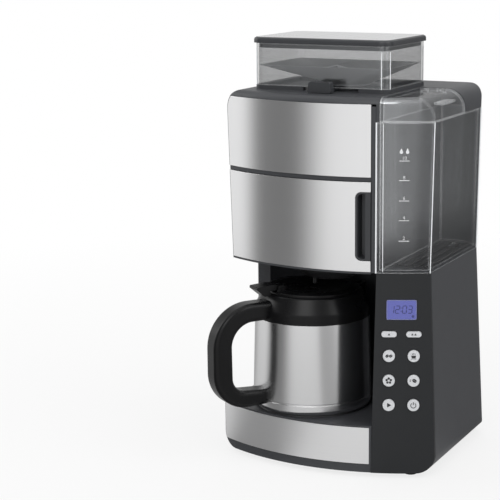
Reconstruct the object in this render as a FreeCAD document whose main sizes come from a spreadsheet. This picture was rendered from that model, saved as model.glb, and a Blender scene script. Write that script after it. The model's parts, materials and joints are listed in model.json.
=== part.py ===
"""Grind-and-brew filter coffee machine with a steel insulated carafe, in millimetres.

X runs to the right seen from the front, Y to the back and Z up.
The origin lies on the floor under the middle of the machine and its carafe.
"""
import FreeCAD
import Part
import Sketcher
import math
import os

doc = FreeCAD.newDocument("coffee_machine")
sheet = doc.addObject("Spreadsheet::Sheet", "sizes")
vec = FreeCAD.Vector
parts = []
cells = []


class Size:
    """A length or angle that carries both its value and the sheet expression behind it."""

    def __init__(self, value, text):
        self.value = value
        self.text = text

    def __add__(self, other):
        other = size(other)
        return Size(self.value + other.value, f"({self.text} + {other.text})")

    def __radd__(self, other):
        return size(other) + self

    def __sub__(self, other):
        other = size(other)
        return Size(self.value - other.value, f"({self.text} - {other.text})")

    def __rsub__(self, other):
        return size(other) - self

    def __mul__(self, other):
        other = size(other)
        return Size(self.value * other.value, f"({self.text} * {other.text})")

    def __rmul__(self, other):
        return size(other) * self

    def __truediv__(self, other):
        other = size(other)
        return Size(self.value / other.value, f"({self.text} / {other.text})")

    def __neg__(self):
        return Size(-self.value, f"(0 - {self.text})")


def size(value):
    """Make any number a Size."""
    if isinstance(value, Size):
        return value
    text = f"{float(value):.6f}"
    return Size(float(value), text if value >= 0 else f"(0 - {-float(value):.6f})")


def root(value):
    return Size(math.sqrt(value.value), f"sqrt({value.text})")


def sine(angle):
    return Size(math.sin(math.radians(angle.value)), f"sin({angle.text})")


def cosine(angle):
    return Size(math.cos(math.radians(angle.value)), f"cos({angle.text})")


def dim(name, value):
    """Enter one driving dimension in the sheet and return it."""
    cells.append(name)
    cell = f"B{len(cells)}"
    sheet.set(f"A{len(cells)}", name)
    sheet.set(cell, str(value))
    sheet.setAlias(cell, name)
    return Size(float(value), f"sizes.{name}")


def bind(item, prop, value):
    """Give one property of a document object its sheet expression."""
    item.setExpression(prop, size(value).text)


def place(item, x, y, z):
    bind(item, "Placement.Base.x", x)
    bind(item, "Placement.Base.y", y)
    bind(item, "Placement.Base.z", z)
    return item


AXES = {
    "z": FreeCAD.Rotation(),
    "x": FreeCAD.Rotation(vec(0, 1, 0), 90),
    "y": FreeCAD.Rotation(vec(1, 0, 0), -90),
}
PLANES = {
    "XY": FreeCAD.Rotation(),
    "XZ": FreeCAD.Rotation(vec(1, 0, 0), 90),
    "YZ": FreeCAD.Rotation(0.5, 0.5, 0.5, 0.5),
}


def box(x, y, z):
    """A block between two values along each axis."""
    item = doc.addObject("Part::Box", "block")
    bind(item, "Length", size(x[1]) - x[0])
    bind(item, "Width", size(y[1]) - y[0])
    bind(item, "Height", size(z[1]) - z[0])
    return place(item, x[0], y[0], z[0])


def rod(radius, at, length, axis="z"):
    """A cylinder that starts at a point and runs along one axis."""
    item = doc.addObject("Part::Cylinder", "rod")
    item.Placement = FreeCAD.Placement(vec(), AXES[axis])
    bind(item, "Radius", radius)
    bind(item, "Height", length)
    return place(item, *at)


def cone(low, high, at, height):
    item = doc.addObject("Part::Cone", "cone")
    bind(item, "Radius1", low)
    bind(item, "Radius2", high)
    bind(item, "Height", height)
    return place(item, *at)


def cut(base, *tools):
    item = doc.addObject("Part::Cut", "cut")
    item.Base = base
    item.Tool = tools[0] if len(tools) == 1 else fuse(*tools)
    return item


def fuse(*items):
    item = doc.addObject("Part::MultiFuse", "fuse")
    item.Shapes = list(items)
    return item


def common(*items):
    item = doc.addObject("Part::MultiCommon", "common")
    item.Shapes = list(items)
    return item


def group(*items):
    item = doc.addObject("Part::Compound", "group")
    item.Links = list(items)
    return item


def unit(dx, dy):
    length = math.hypot(dx, dy)
    return dx / length, dy / length


def add_loop(sketch, corners):
    """Draw a closed outline; each corner is (u, v) or (u, v, radius)."""
    spots = [(size(c[0]), size(c[1]), size(c[2]) if len(c) > 2 else None) for c in corners]
    count = len(spots)
    ins, outs, arcs = [], [], []
    for i, (u, v, r) in enumerate(spots):
        pu, pv, _ = spots[i - 1]
        nu, nv, _ = spots[(i + 1) % count]
        before = unit(pu.value - u.value, pv.value - v.value)
        after = unit(nu.value - u.value, nv.value - v.value)
        if r is None:
            ins.append((u.value, v.value))
            outs.append((u.value, v.value))
            arcs.append(None)
            continue
        half = math.acos(before[0] * after[0] + before[1] * after[1]) / 2
        run = r.value / math.tan(half)
        ins.append((u.value + before[0] * run, v.value + before[1] * run))
        outs.append((u.value + after[0] * run, v.value + after[1] * run))
        mid = unit(before[0] + after[0], before[1] + after[1])
        reach = r.value / math.sin(half)
        centre = (u.value + mid[0] * reach, v.value + mid[1] * reach)
        turn = before[0] * after[1] - before[1] * after[0]
        ends = (ins[-1], outs[-1]) if turn < 0 else (outs[-1], ins[-1])
        angles = [math.atan2(e[1] - centre[1], e[0] - centre[0]) for e in ends]
        circle = Part.Circle(vec(centre[0], centre[1], 0), vec(0, 0, 1), r.value)
        arcs.append((Part.ArcOfCircle(circle, angles[0], angles[1]), turn < 0))
    lines = []
    for i in range(count):
        start, end = outs[i], ins[(i + 1) % count]
        segment = Part.LineSegment(vec(start[0], start[1], 0), vec(end[0], end[1], 0))
        lines.append(sketch.addGeometry(segment, False))
    for i, (u, v, r) in enumerate(spots):
        before, after = lines[i - 1], lines[i]
        if r is None:
            sketch.addConstraint(Sketcher.Constraint("Coincident", before, 2, after, 1))
            fix_point(sketch, after, u, v)
            continue
        arc = sketch.addGeometry(arcs[i][0], False)
        first, last = (1, 2) if arcs[i][1] else (2, 1)
        corner = sketch.addGeometry(Part.Point(vec(u.value, v.value, 0)), True)
        sketch.addConstraint(Sketcher.Constraint("Tangent", before, 2, arc, first))
        sketch.addConstraint(Sketcher.Constraint("Tangent", arc, last, after, 1))
        sketch.addConstraint(Sketcher.Constraint("PointOnObject", corner, 1, before))
        sketch.addConstraint(Sketcher.Constraint("PointOnObject", corner, 1, after))
        fix_point(sketch, corner, u, v)
        index = sketch.addConstraint(Sketcher.Constraint("Radius", arc, r.value))
        bind(sketch, f"Constraints[{index}]", r)


def fix_point(sketch, geometry, u, v):
    """Hold the first point of a sketch element at its two expressions."""
    for kind, value, axis in (("DistanceX", u, -2), ("DistanceY", v, -1)):
        if abs(value.value) < 1e-9:
            sketch.addConstraint(Sketcher.Constraint("PointOnObject", geometry, 1, axis))
            continue
        index = sketch.addConstraint(Sketcher.Constraint(kind, -1, 1, geometry, 1, value.value))
        bind(sketch, f"Constraints[{index}]", value)


def outline(corners, plane="XY", at=(0, 0, 0)):
    """A free sketch of one closed outline on a plane through a point."""
    sketch = doc.addObject("Sketcher::SketchObject", "outline")
    sketch.Placement = FreeCAD.Placement(vec(), PLANES[plane])
    add_loop(sketch, corners)
    return place(sketch, *at)


def prism(corners, plane, start, end):
    """An outline drawn on a plane and run straight from one level to another."""
    at = {"XY": (0, 0, start), "XZ": (0, start, 0), "YZ": (start, 0, 0)}[plane]
    item = doc.addObject("Part::Extrusion", "prism")
    item.Base = outline(corners, plane, at)
    item.DirMode = "Normal"
    item.Solid = True
    item.Reversed = plane == "XZ"
    bind(item, "LengthFwd", size(end) - start)
    return item


def loft(low, high, z_low, z_high):
    """A straight-sided body between two outlines of the same make at two heights."""
    item = doc.addObject("Part::Loft", "loft")
    item.Sections = [outline(low, "XY", (0, 0, z_low)), outline(high, "XY", (0, 0, z_high))]
    item.Solid = True
    item.Ruled = True
    return item


def body_sketch(body, role, corners):
    sketch = body.newObject("Sketcher::SketchObject", "sketch")
    plane = [f for f in body.Origin.OriginFeatures if f.Role == role][0]
    sketch.AttachmentSupport = [(plane, "")]
    sketch.MapMode = "FlatFace"
    add_loop(sketch, corners)
    return sketch


def turned(corners, x, y, z):
    """A piece turned about a vertical axis; corners are (radius, height)."""
    body = doc.addObject("PartDesign::Body", "turned")
    sketch = body_sketch(body, "XZ_Plane", corners)
    turn = body.newObject("PartDesign::Revolution", "turn")
    turn.Profile = sketch
    turn.ReferenceAxis = (sketch, ["V_Axis"])
    turn.Angle = 360
    body.Tip = turn
    return place(body, x, y, z)


def padded(corners, role, length, x=0, y=0, z=0, turn=None):
    """A piece padded from an outline on one of its own planes."""
    body = doc.addObject("PartDesign::Body", "padded")
    sketch = body_sketch(body, role, corners)
    pad = body.newObject("PartDesign::Pad", "pad")
    pad.Profile = sketch
    pad.Reversed = role == "XZ_Plane"
    bind(pad, "Length", length)
    body.Tip = pad
    if turn is not None:
        body.Placement = FreeCAD.Placement(vec(), turn)
    return place(body, x, y, z)


def rect(x, y, r=None):
    """Corners of a rectangle between two values each way, rounded if a radius is given."""
    spots = [(x[0], y[0]), (x[1], y[0]), (x[1], y[1]), (x[0], y[1])]
    return spots if r is None else [(u, v, r) for u, v in spots]


def keep(label, item):
    """Name a finished piece and put it on the list to be written."""
    item.Label = label
    parts.append(item)
    return item


# Heights of the main levels
foot_h = dim("foot_height", 5)
deck_z = dim("deck_height", 53)
waist_z = dim("waist_height", 206)
door_top = dim("door_top_height", 295.6)
band = dim("band_width", 4.8)
fascia_top = dim("fascia_top_height", 371)
skirt_z = dim("skirt_height", 355)
cover_z = dim("cover_height", 378)

# Widths and depths, measured from the origin
left_waist = dim("left_waist_reach", 109)
left_top = dim("left_top_reach", 116.5)
right_waist = dim("right_waist_reach", 106)
right_top = dim("right_top_reach", 109)
right_foot = dim("right_foot_reach", 116.5)
base_left = dim("base_left_reach", 115.5)
front_reach = dim("front_reach", 72)
back = dim("back_reach", 121)
panel_left = dim("panel_left_edge", 57.5)

# The bowed front and the rounded edges of the housing
bow_r = dim("bow_radius", 222)
bow_x = dim("bow_centre", -5)
base_proud = dim("base_proud", 12)
shoulder_r = dim("shoulder_radius", 20)
brow_r = dim("brow_radius", 8)
heel_r = dim("heel_radius", 16)
back_r = dim("back_corner_radius", 28)

# Sheets, walls and clearances
wall = dim("housing_wall", 2.8)
steel = dim("steel_sheet", 0.8)
backing = dim("fascia_backing", 2.6)
clear_wall = dim("clear_wall", 2.4)
panel_t = dim("panel_thickness", 3)
play = dim("play", 0.3)
rim = dim("fascia_rim", 1.2)
bond = dim("skin_bond", 0.05)

bow_y = bow_r - front_reach
slab = steel + backing
low_z = waist_z - 6
far = front_reach + 80
fascia_low = door_top + band
door_low = waist_z - 1.4
door_steel_low = waist_z + 0.9


def left_at(z):
    """X of the leaning left side at a height."""
    return -(left_waist + (left_top - left_waist) * (z - waist_z) / (cover_z - waist_z))


def right_at(z):
    """X of the leaning right side of the upper half at a height."""
    return right_waist + (right_top - right_waist) * (z - waist_z) / (cover_z - waist_z)


def bow(radius, z_low, z_high):
    """Everything inside the bowed front of one radius."""
    return rod(radius, (bow_x, bow_y, z_low), size(z_high) - z_low)


def bow_ring(inside, outside, z_low, z_high):
    """A curved sheet along the bowed front."""
    return cut(bow(outside, z_low, z_high), bow(inside, z_low - 1, z_high + 1))


def upper_plan(z, inset):
    return [
        (left_at(z) + inset, -far),
        (right_at(z) - inset, -far),
        (right_at(z) - inset, back - inset, back_r - inset),
        (left_at(z) + inset, back - inset, back_r - inset),
    ]


def upper_profile(inset):
    """Front view of the upper half with its two rounded shoulders."""
    top = cover_z - inset
    corners = [
        (left_at(low_z) + inset, low_z),
        (right_at(low_z) - inset, low_z),
        (right_at(top) - inset, top, shoulder_r - inset),
        (left_at(top) + inset, top, shoulder_r - inset),
    ]
    return prism(corners, "XZ", -far, far)


def upper_form(inset, front_inset):
    """Solid form of the upper half, drawn in by a wall and a front thickness."""
    top = cover_z - inset
    sides = loft(upper_plan(low_z, inset), upper_plan(cover_z, inset), low_z, cover_z)
    radius = bow_r - front_inset
    brow = turned(
        [(0, low_z), (radius, low_z), (radius, top, brow_r - inset), (0, top)], bow_x, bow_y, 0
    )
    return common(sides, upper_profile(inset), brow)


upper_outer = upper_form(size(0), size(0))
upper_inner = upper_form(wall, slab)
front_slot = bow_ring(bow_r - slab, bow_r + 20, low_z - 10, fascia_top + play)

# Carafe, basket and burr axes
carafe_x = dim("carafe_x", -31.4)
carafe_y = dim("carafe_y", -19.1)
basket_x = dim("basket_x", -11)
basket_y = dim("basket_y", -19)
burr_x = dim("burr_x", -5)
burr_y = dim("burr_y", 17)

# Rear housing: left and back walls, tank partition and the rear column behind the carafe
part_left = dim("partition_left", 52.8)
part_right = dim("partition_right", 56.5)
back_right = dim("back_wall_right", 82)
wing_y = dim("tank_wing_front", 106)
wing_top = dim("tank_wing_top", 353.6)
column_front = dim("column_front", 11)
bay_r = dim("bay_radius", 70)
hinge_in = dim("hinge_inset", 5.5)
hinge_y = dim("hinge_y", -31)
sweep_r = dim("hinge_sweep", 14.5)
pin_r = dim("hinge_pin_radius", 2.5)
hinge_x = left_at(waist_z) + hinge_in
door_space = door_top + 0.4

upper_shell = cut(
    common(upper_outer, box((-far, back_right), (-far, far), (waist_z, skirt_z))),
    upper_inner,
    front_slot,
    rod(sweep_r + play, (hinge_x, hinge_y, low_z), door_space - low_z),
    box((-far, hinge_x + 40), (-far, hinge_y), (low_z, door_space)),
)
tank_wing = common(
    cut(upper_outer, upper_inner),
    box((back_right - 1, far), (wing_y, far), (waist_z, wing_top)),
)
partition = cut(
    common(
        box((part_left, part_right), (-far, back - wall / 2), (waist_z, fascia_top - 2)), upper_outer
    ),
    box((part_left - 1, part_right + 1), (back - wall - play, far), (skirt_z, cover_z)),
)


def column_block(inset, z_low, z_high):
    corners = [
        (-left_waist + inset, column_front + inset),
        (panel_left - inset, column_front + inset),
        (panel_left - inset, back - inset),
        (-left_waist + inset, back - inset, back_r - inset),
    ]
    bay = rod(bay_r + inset, (carafe_x, carafe_y, z_low - 1), size(z_high) - z_low + 2)
    return cut(prism(corners, "XY", z_low, z_high), bay)


outlet_x = dim("tank_outlet_x", 82)
water_y = dim("water_line_y", 96)
hose_z = dim("hose_height", 64)
hose_gate = box(
    (panel_left - wall - 3, panel_left + wall + 3), (water_y - 12, water_y + 12), (hose_z - 9, hose_z + 9)
)
lug_low = waist_z + 2
lug_high = lug_low + 3
lug = fuse(
    box((hinge_x - 4, hinge_x + 6), (hinge_y - 5, hinge_y + sweep_r + 3), (lug_low, lug_high)),
    box((left_at(waist_z) + 1.5, hinge_x + 6), (hinge_y + sweep_r + 1, hinge_y + 25), (lug_low, lug_high)),
)
rear = fuse(
    upper_shell,
    tank_wing,
    partition,
    cut(column_block(size(0), deck_z, waist_z), column_block(wall, deck_z - 1, waist_z + 1), hose_gate),
    cut(lug, rod(pin_r, (hinge_x, hinge_y, low_z), 30)),
)
keep("rear_housing", rear)

# Base with its steel trim, plate, feet and carafe rest
trim_low = dim("trim_low", 14)
trim_high = dim("trim_high", 51.3)
base_r = bow_r + base_proud
trim_right = dim("trim_right_edge", 55.8)


def base_profile(inset, top):
    corners = [
        (-base_left + inset, foot_h + inset, heel_r - inset),
        (panel_left - inset, foot_h + inset),
        (panel_left - inset, top),
        (-base_left + inset, top, 3),
    ]
    return prism(corners, "XZ", -far, far)


def base_form(inset, front_inset, top):
    corners = [
        (-base_left + inset, -far),
        (panel_left - inset, -far),
        (panel_left - inset, back - inset),
        (-base_left + inset, back - inset, back_r - inset),
    ]
    plan = prism(corners, "XY", 0, deck_z + 10)
    return common(base_profile(inset, top), plan, bow(base_r - front_inset, 0, deck_z + 10))


screw_r = dim("screw_radius", 1.5)
screw_spots = [(-82, -52), (-76, 88), (38, -66), (40, 102), (70, 88), (78, -30)]
screw_holes = fuse(*[rod(screw_r, (x, y, -1), 12) for x, y in screw_spots])
plate_t = dim("base_plate_thickness", 2)
plate_low = foot_h - plate_t
rest_r = dim("carafe_rest_radius", 58)
rest_h = dim("carafe_rest_height", 2)
tray = cut(
    base_form(size(0), steel, deck_z),
    base_form(wall, steel + wall, deck_z - wall),
    box((-74, 48), (-60, 82), (0, foot_h + wall + 1)),
    box((-60, 46), (78, 112), (deck_z - wall - 2, deck_z + 2)),
    screw_holes,
)
keep("base_tray", tray)
trim = common(
    bow_ring(base_r - steel + bond, base_r, trim_low, trim_high),
    base_profile(rim, deck_z),
    box((-far, trim_right), (-far, 0), (0, deck_z)),
)
keep("base_trim", trim)
foot_r = dim("foot_radius", 7.5)
foot_spots = [(-95, -46), (89, -46), (-84, 102), (76, 106)]
plate = cut(
    common(
        prism(rect((-104.5, 100), (-front_reach, back - 6), 12), "XY", plate_low, foot_h),
        bow(base_r - 10, 0, foot_h + 1),
    ),
    screw_holes,
    *[rod(foot_r + play, (x, y, -1), foot_h + 2) for x, y in foot_spots],
)
keep("base_plate", plate)
feet = []
for x, y in foot_spots:
    feet.append(turned([(0, 0), (foot_r - 1, 0, 0.8), (foot_r, foot_h), (0, foot_h)], x, y, 0))
keep("feet", group(*feet))
screws = []
for x, y in screw_spots:
    tip_z = plate_t + wall + 1
    head = [(0, -1.4), (3.2, -1.4, 0.5), (3.2, 0), (screw_r, 0), (screw_r, tip_z), (0, tip_z)]
    screws.append(turned(head, x, y, plate_low))
keep("base_screws", group(*screws))
keep("carafe_rest", turned(
    [(0, 0), (rest_r, 0), (rest_r - 1, rest_h, 0.6), (0, rest_h)], carafe_x, carafe_y, deck_z
))

# Control column below the tank, with its front panel
lean_run = waist_z - foot_h
cone_outer = cone(base_r, bow_r, (bow_x, bow_y, foot_h), lean_run)
cone_inner = cone(base_r - panel_t, bow_r - panel_t, (bow_x, bow_y, foot_h), lean_run)


def flank_at(z):
    """X of the flared right side of the lower half at a height."""
    return right_foot + (right_waist - right_foot) * (z - foot_h) / lean_run


def tower_profile(inset):
    top = waist_z - inset
    low = foot_h + inset
    corners = [
        (panel_left + inset, low),
        (flank_at(low) - inset, low, heel_r - inset),
        (flank_at(top) - inset, top),
        (panel_left + inset, top),
    ]
    return prism(corners, "XZ", -far, far)


def tower_plan(z, inset):
    return [
        (panel_left + inset, -far),
        (flank_at(z) - inset, -far),
        (flank_at(z) - inset, back - inset, back_r - inset),
        (panel_left + inset, back - inset),
    ]


def tower_form(inset):
    sides = loft(tower_plan(foot_h, inset), tower_plan(waist_z, inset), foot_h, waist_z)
    return common(sides, tower_profile(inset))


gland_x = dim("gland_x", 72)
gland_z = dim("gland_height", 28)
gland_r = dim("gland_radius", 5)
tower = cut(
    common(tower_form(size(0)), cone_inner),
    tower_form(wall),
    hose_gate,
    rod(9, (outlet_x, water_y, waist_z - 6), 8),
    rod(gland_r, (gland_x, back - 8, gland_z), 20, "y"),
    screw_holes,
)
keep("column_housing", tower)
gland = cut(
    fuse(
        rod(gland_r, (gland_x, back - wall - 5, gland_z), wall + 6, "y"),
        rod(gland_r + 3, (gland_x, back, gland_z), 2, "y"),
        rod(gland_r + 3, (gland_x, back - wall - 2, gland_z), 2, "y"),
    ),
    rod(gland_r - 2, (gland_x, back - 12, gland_z), 20, "y"),
)
keep("mains_gland", gland)

# Panel fittings lie square to the panel at its middle
panel_x = dim("panel_middle_x", 83)
panel_z = dim("panel_middle_height", 125)
panel_turn = dim("panel_turn", 22.8)
panel_lean = dim("panel_lean", 3.4)
panel_r = bow_r + base_proud * (waist_z - panel_z) / lean_run
panel_y = bow_y - root(panel_r * panel_r - (panel_x - bow_x) * (panel_x - bow_x))
panel_rot = FreeCAD.Rotation(vec(0, 0, 1), panel_turn.value).multiply(
    FreeCAD.Rotation(vec(1, 0, 0), -panel_lean.value)
)


def on_panel(corners, depth, length):
    """Pad an outline of panel coordinates from a depth behind the panel face."""
    body = doc.addObject("PartDesign::Body", "fitting")
    sketch = body_sketch(body, "XZ_Plane", corners)
    bind(sketch, "AttachmentOffset.Base.z", -size(depth))
    pad = body.newObject("PartDesign::Pad", "pad")
    pad.Profile = sketch
    pad.Reversed = True
    bind(pad, "Length", length)
    body.Tip = pad
    body.Placement = FreeCAD.Placement(vec(), panel_rot)
    return place(body, panel_x, panel_y, panel_z)


def pill(u, v, long, high, grow=0):
    """Corners of a rounded bar about a point."""
    half_u = long / 2 + grow
    half_v = high / 2 + grow
    return rect((u - half_u, u + half_u), (v - half_v, v + half_v), half_v * 0.98)


key_d = dim("round_button_diameter", 11.8)
key_u = dim("button_column_offset", 12.2)
bar_long = dim("bar_button_length", 15)
bar_high = dim("bar_button_height", 5.8)
bar_v = dim("bar_button_level", 21)
rows = [dim("button_row_upper", -0.7), dim("button_row_middle", -25.5), dim("button_row_lower", -50.2)]
key_proud = dim("button_proud", 1.2)
key_long = dim("button_length", 6.2)
travel = dim("button_travel", 1)
flange = dim("button_flange", 1.2)
flange_t = dim("button_flange_thickness", 1.4)
board_depth = dim("board_depth", 11)
screen_wide = dim("screen_width", 30)
screen_high = dim("screen_height", 20)
screen_v = dim("screen_level", 45.2)
names = [
    ("hour_button", -key_u, bar_v, bar_long, bar_high),
    ("minute_button", key_u, bar_v, bar_long, bar_high),
    ("beans_button", -key_u, rows[0], key_d, key_d),
    ("cups_button", key_u, rows[0], key_d, key_d),
    ("strength_button", -key_u, rows[1], key_d, key_d),
    ("grind_button", key_u, rows[1], key_d, key_d),
    ("start_button", -key_u, rows[2], key_d, key_d),
    ("power_button", key_u, rows[2], key_d, key_d),
]
flange_depth = key_long - key_proud - 0.4
switch_depth = flange_depth + flange_t + travel + play
switches = []
wells = []
for name, u, v, long, high in names:
    key = fuse(
        on_panel(pill(u, v, long, high), -key_proud, key_long),
        on_panel(pill(u, v, long, high, flange), flange_depth, flange_t),
    )
    keep(name, key)
    wells.append(on_panel(pill(u, v, long, high, play), -6, 14))
    switch = rect((u - 3, u + 3), (v - 2.5, v + 2.5))
    switches.append(on_panel(switch, switch_depth, board_depth - switch_depth))
half_wide = screen_wide / 2
half_high = screen_high / 2
screen_hole = on_panel(
    rect((-half_wide, half_wide), (screen_v - half_high, screen_v + half_high), 2.5), -6, 14
)
post_spots = [(-15.5, 61), (20, 61), (-15.5, -62), (20, -62)]
posts = [on_panel(rect((u - 2.5, u + 2.5), (v - 2.5, v + 2.5)), 2, board_depth - 2) for u, v in post_spots]
panel_skin = common(
    cut(cone_outer, cone_inner), tower_profile(size(0)), box((0, far), (-far, 0), (0, waist_z))
)
keep("control_panel", fuse(cut(panel_skin, screen_hole, *wells), *posts))
inner_w = half_wide - play / 2
inner_h = half_high - play / 2
window_t = dim("window_thickness", 2.6)
keep("display_window", on_panel(
    rect((-inner_w, inner_w), (screen_v - inner_h, screen_v + inner_h), 2.3), -0.2, window_t
))
keep("lcd_module", on_panel(
    rect((-inner_w - 2, inner_w + 2), (screen_v - inner_h - 2, screen_v + inner_h + 2)),
    panel_t + 1,
    board_depth - panel_t - 1,
))
keep("control_board", fuse(on_panel(rect((-17.4, 23), (-65, 64)), board_depth, 1.6), *switches))

# Steel fascia of the upper half and its backing
fascia_right = dim("fascia_right_edge", 52)
keep("fascia_frame", common(
    bow_ring(bow_r - slab, bow_r - steel, fascia_low, fascia_top),
    upper_profile(size(0)),
    box((-far, fascia_right + 0.4), (-far, 60), (0, cover_z)),
))
keep("upper_fascia", common(
    bow_ring(bow_r - steel + bond, bow_r, fascia_low, fascia_top),
    upper_profile(rim),
    box((-far, fascia_right), (-far, 60), (0, cover_z)),
))

# Bean hopper: clear walls on a collar, funnel floor, guard and lift-off lid
hop_left = dim("hopper_left", -90)
hop_right = dim("hopper_right", 56)
hop_front = dim("hopper_front", -32)
hop_back = dim("hopper_back", 73)
hop_z = dim("hopper_seat_height", 382)
hop_h = dim("hopper_height", 42)
hop_r = dim("hopper_corner_radius", 9)
lid_h = dim("hopper_lid_height", 6)
lid_over = dim("hopper_lid_overhang", 2.4)
mouth_r = dim("hopper_mouth_radius", 20)
ledge_h = dim("funnel_drop", 20)
hop_top = hop_z + hop_h


def hopper_plan(grow):
    return rect((hop_left - grow, hop_right + grow), (hop_front - grow, hop_back + grow), hop_r + grow)


def hopper_rect(grow, z_low, z_high):
    return prism(hopper_plan(grow), "XY", z_low, z_high)


keep("bean_hopper", cut(
    hopper_rect(size(0), hop_z, hop_top), hopper_rect(-clear_wall, hop_z - 1, hop_top + 1)
))


def funnel(grow, z_low, z_high):
    """Tapered form from the hopper walls down to the round mouth."""
    inset = clear_wall + play - grow
    wide = rect((hop_left + inset, hop_right - inset), (hop_front + inset, hop_back - inset), hop_r - inset)
    hole = mouth_r + grow
    small = rect((burr_x - hole, burr_x + hole), (burr_y - hole, burr_y + hole), hole * 0.98)
    return loft(small, wide, z_low, z_high)


funnel_t = dim("funnel_wall", 1.8)
neck_r = mouth_r + play
keep("hopper_funnel", cut(
    fuse(
        funnel(size(0), hop_z + 0.4, hop_z + ledge_h),
        rod(neck_r, (burr_x, burr_y, hop_z - 3), 6),
    ),
    funnel(-funnel_t, hop_z + 0.4 + funnel_t, hop_z + ledge_h + 0.01),
    rod(neck_r - funnel_t - 0.5, (burr_x, burr_y, hop_z - 5), 14),
))
guard_half = dim("guard_half_width", 32.8)
guard_rise = dim("guard_rise", 9)
guard_low = hop_z + 11
guard_t = dim("guard_thickness", 1.6)
guard_x = burr_x - 2
keep("bean_guard", prism(
    [
        (guard_x - guard_half, guard_low),
        (guard_x, guard_low + guard_rise),
        (guard_x + guard_half, guard_low),
        (guard_x + guard_half, guard_low + guard_t),
        (guard_x, guard_low + guard_rise + guard_t),
        (guard_x - guard_half, guard_low + guard_t),
    ],
    "XZ", burr_y - 29.6, burr_y + 16,
))
lid_z = hop_top + 0.2
lid_top = lid_z + lid_h - 0.2
plate_inset = dim("lid_plate_inset", 3.2)
lid_round = dim("hopper_lid_shoulder", 2.6)
lid_mid = lid_over - lid_round * 0.25
plate_deep = dim("lid_plate_thickness", 1.2)
keep("hopper_lid", cut(
    fuse(
        hopper_rect(lid_over, lid_z, lid_top - lid_round),
        loft(hopper_plan(lid_over), hopper_plan(lid_mid), lid_top - lid_round, lid_top - lid_round * 0.4),
        loft(hopper_plan(lid_mid), hopper_plan(lid_over - lid_round), lid_top - lid_round * 0.4, lid_top),
        hopper_rect(-clear_wall - 0.6, lid_z - 5, lid_z + 1),
    ),
    hopper_rect(-clear_wall - 3, lid_z - 6, lid_z + 2.4),
    hopper_rect(lid_over - plate_inset, lid_top - plate_deep, lid_top + 1),
))
keep("lid_plate", hopper_rect(lid_over - plate_inset - 0.1, lid_top - plate_deep, lid_top))

# Top cover with the hopper collar, the lever gate and the tank lid's hinge lugs
lip_right = dim("cover_lip_right", 59.5)
tank_top = dim("tank_top_height", 354)
lid_pin_y = dim("tank_hinge_y", 46)
barrel_r = dim("tank_hinge_barrel_radius", 2.6)
lid_pin_r = dim("tank_hinge_pin_radius", 1.2)
lid_pin_z = cover_z - barrel_r
cover_split = lid_pin_y + barrel_r + 0.4
selector_r = dim("selector_bore_radius", 27)
collar_w = dim("collar_width", 6)
gate_half = dim("lever_gate_half_width", 30)
lug_spots = [(64, 68), (80, 84)]
cap = cut(
    common(upper_outer, box((-far, far), (-far, far), (skirt_z, cover_z + 1))),
    upper_inner,
    front_slot,
    box((lip_right, far), (-far, cover_split), (skirt_z - 1, cover_z + 1)),
)
lip = common(
    box((part_right + 0.3, lip_right), (-far, cover_split + 2), (skirt_z, cover_z)), upper_outer
)
collar = cut(
    hopper_rect(size(0.4), cover_z - 1, hop_z),
    hopper_rect(-collar_w, cover_z - 2, hop_z + 1),
    box(
        (burr_x - gate_half, burr_x + gate_half),
        (hop_front - 5, hop_front + collar_w + 6),
        (cover_z, hop_z + 1),
    ),
)
lugs = []
for low, high in lug_spots:
    lugs.append(box(
        (low, high),
        (lid_pin_y - barrel_r + 0.2, cover_split + 1.5),
        (lid_pin_z - barrel_r + 0.2, cover_z - 0.3),
    ))
cover = cut(
    fuse(cap, lip, collar, *lugs),
    rod(selector_r, (burr_x, burr_y, cover_z - 10), 20),
    rod(lid_pin_r + 0.06, (part_right, lid_pin_y, lid_pin_z), 60, "x"),
)
keep("top_cover", cover)

# Clear water tank and its hinged lid
tank_left = dim("tank_left", 57)
tank_back = back - wall - play
tank_low = waist_z
spigot_r = dim("tank_spigot_radius", 7)


def tank_form(inset, z_low, z_high):
    sides = loft(upper_plan(low_z, inset), upper_plan(cover_z, inset), low_z, cover_z)
    block = box((tank_left + inset, far), (-far, tank_back - inset), (z_low, z_high))
    drawn_in = wall + play + inset
    room = fuse(
        box((-far, far), (-far, wing_y - play - inset), (low_z, cover_z)),
        loft(upper_plan(low_z, drawn_in), upper_plan(cover_z, drawn_in), low_z, cover_z),
    )
    return common(sides, bow(bow_r - inset, low_z, cover_z), block, room)


keep("water_tank", cut(
    fuse(
        tank_form(size(0), tank_low, tank_top),
        rod(spigot_r, (outlet_x, water_y, waist_z - 9), 10),
    ),
    tank_form(clear_wall, tank_low + clear_wall, tank_top + 1),
    rod(spigot_r - 2, (outlet_x, water_y, waist_z - 10), 20),
))
lid_left = lip_right + 0.5
lid_box = box((lid_left, far), (-far, lid_pin_y), (tank_top + 0.4, cover_z + 1))
barrel_right = dim("tank_hinge_barrel_end", 88)
notches = []
for low, high in lug_spots:
    notches.append(box(
        (low - 0.4, high + 0.4),
        (lid_pin_y - barrel_r - 1.6, lid_pin_y + 5),
        (cover_z - 8, cover_z + 1),
    ))
keep("tank_lid", fuse(
    cut(
        fuse(
            cut(common(upper_outer, lid_box), upper_form(clear_wall, clear_wall)),
            common(
                box((lid_left, lid_left + clear_wall), (-far, lid_pin_y), (tank_top + 0.4, cover_z)),
                upper_outer,
            ),
            rod(barrel_r, (lid_left, lid_pin_y, lid_pin_z), barrel_right - lid_left, "x"),
        ),
        *notches,
    ),
    rod(lid_pin_r, (part_right + 1, lid_pin_y, lid_pin_z), barrel_right - part_right - 2, "x"),
))

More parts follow.
